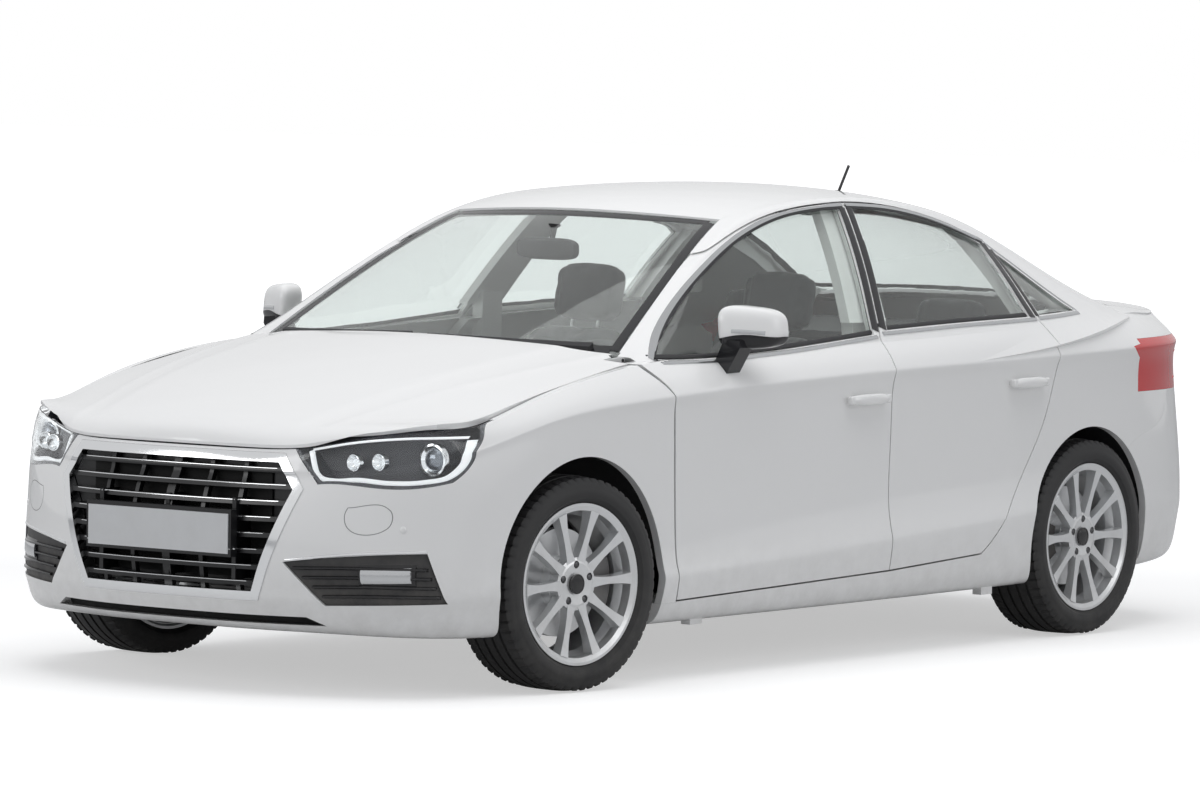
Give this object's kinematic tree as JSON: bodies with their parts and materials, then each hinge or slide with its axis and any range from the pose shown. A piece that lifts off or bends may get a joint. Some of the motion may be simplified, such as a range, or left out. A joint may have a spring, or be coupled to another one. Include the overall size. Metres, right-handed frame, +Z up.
{
  "type": "four-door saloon car",
  "caption": "White four-door saloon car with opening doors, bonnet and boot lid, steered front wheels, hollow cabin with seats and dashboard.",
  "frame": {"origin": "on the ground under the middle of the car", "axes": "-Y forward, +X to the car's left, +Z up"},
  "size_m": [1.9692, 4.4513, 1.4618],
  "materials": {
    "paint_white": "gloss white",
    "underbody": "satin black",
    "glass": "tinted",
    "lamp_clear": "clear",
    "lamp_inner": "dark reflector housing",
    "lamp_red": "red lens",
    "chrome": "bright",
    "black_gloss": "gloss black",
    "black_matt": "grained black",
    "plate": "blank plate",
    "rim": "silver lacquer",
    "tyre": "black rubber",
    "casting": "cast",
    "steel": "steel",
    "engine": "cast",
    "cloth": "dark grey cloth",
    "trim": "grained dark trim"
  },
  "bodies": {
    "body": {"side_frame_left": "paint_white", "side_frame_right": "paint_white", "roof_panel": "paint_white", "windscreen": "glass", "rear_window": "glass", "quarter_windows": "glass", "wing_left": "paint_white", "wing_right": "paint_white", "front_bumper": "paint_white", "rear_bumper": "paint_white", "grille_frame": "chrome", "grille": "black_gloss", "front_plate": "plate", "headlamp_lenses": "lamp_clear", "headlamp_bodies": "lamp_inner", "tail_lamps": "lamp_red", "bumper_vents": "black_matt", "front_suspension": "underbody", "rear_suspension": "underbody", "floor_pan": "underbody", "firewall": "underbody", "rear_bulkhead": "trim", "front_seats": "cloth", "rear_bench": "cloth", "dashboard": "trim", "arch_liners": "black_matt", "engine_block": "engine", "exhaust": "steel", "wipers": "black_matt", "aerial": "black_matt"},
    "bonnet": {"bonnet": "paint_white"},
    "boot_lid": {"boot_lid": "paint_white", "lid_lamps": "lamp_red"},
    "steering_wheel": {"steering_wheel": "trim"},
    "knuckle_left": {"knuckle_left": "casting"},
    "knuckle_right": {"knuckle_right": "casting"},
    "door_front_left": {"door_front_left": "paint_white", "glass_front_left": "glass", "mirror_left": "paint_white"},
    "wheel_front_left": {"rim_front_left": "rim", "tyre_front_left": "tyre"},
    "door_rear_left": {"door_rear_left": "paint_white", "glass_rear_left": "glass"},
    "wheel_rear_left": {"rim_rear_left": "rim", "tyre_rear_left": "tyre"},
    "door_front_right": {"door_front_right": "paint_white", "glass_front_right": "glass", "mirror_right": "paint_white"},
    "wheel_front_right": {"rim_front_right": "rim", "tyre_front_right": "tyre"},
    "door_rear_right": {"door_rear_right": "paint_white", "glass_rear_right": "glass"},
    "wheel_rear_right": {"rim_rear_right": "rim", "tyre_rear_right": "tyre"}
  },
  "joints": [
    {"name": "door_front_left_swing", "type": "hinge", "parent": "body", "child": "door_front_left", "pos_m": [0.899, -0.965, 0.6], "axis": [0, 0, -1], "range_deg": [0, 65]},
    {"name": "door_rear_left_swing", "type": "hinge", "parent": "body", "child": "door_rear_left", "pos_m": [0.899, 0.14, 0.6], "axis": [0, 0, -1], "range_deg": [0, 65]},
    {"name": "door_front_right_swing", "type": "hinge", "parent": "body", "child": "door_front_right", "pos_m": [-0.899, -0.965, 0.6], "axis": [0, 0, 1], "range_deg": [0, 65]},
    {"name": "door_rear_right_swing", "type": "hinge", "parent": "body", "child": "door_rear_right", "pos_m": [-0.899, 0.14, 0.6], "axis": [0, 0, 1], "range_deg": [0, 65]},
    {"name": "bonnet_lift", "type": "hinge", "parent": "body", "child": "bonnet", "pos_m": [0, -0.975, 0.93], "axis": [-1, 0, 0], "range_deg": [0, 50]},
    {"name": "boot_lid_lift", "type": "hinge", "parent": "body", "child": "boot_lid", "pos_m": [0, 1.778, 1.029], "axis": [1, 0, 0], "range_deg": [0, 80]},
    {"name": "steering_wheel_turn", "type": "hinge", "parent": "body", "child": "steering_wheel", "pos_m": [0.365, -0.56, 0.79], "axis": [0, 0.9063, 0.4226], "range_deg": [-392, 632]},
    {"name": "steer_left", "type": "hinge", "parent": "body", "child": "knuckle_left", "pos_m": [0.745, -1.371, 0.18], "axis": [-0.2941, 0, 0.9558], "range_deg": [-24.5, 39.5]},
    {"name": "steer_right", "type": "hinge", "parent": "body", "child": "knuckle_right", "pos_m": [-0.745, -1.371, 0.18], "axis": [0.2941, 0, 0.9558], "range_deg": [-24.5, 39.5]},
    {"name": "wheel_front_left_spin", "type": "hinge", "parent": "knuckle_left", "child": "wheel_front_left", "pos_m": [0.77693, -1.38004, 0.30983], "axis": [0.9922, -0.1248, -0.0024], "continuous": true},
    {"name": "wheel_front_right_spin", "type": "hinge", "parent": "knuckle_right", "child": "wheel_front_right", "pos_m": [-0.77693, -1.36196, 0.30983], "axis": [0.9922, -0.1248, 0.0024], "continuous": true},
    {"name": "wheel_rear_left_spin", "type": "hinge", "parent": "body", "child": "wheel_rear_left", "pos_m": [0.763, 1.266, 0.31], "axis": [1, 0, 0], "continuous": true},
    {"name": "wheel_rear_right_spin", "type": "hinge", "parent": "body", "child": "wheel_rear_right", "pos_m": [-0.763, 1.266, 0.31], "axis": [1, 0, 0], "continuous": true}
  ],
  "couplings": [
    {"joint": "steer_right", "follows": "steer_left", "ratio": 1},
    {"joint": "steering_wheel_turn", "follows": "steer_left", "ratio": 16}
  ]
}
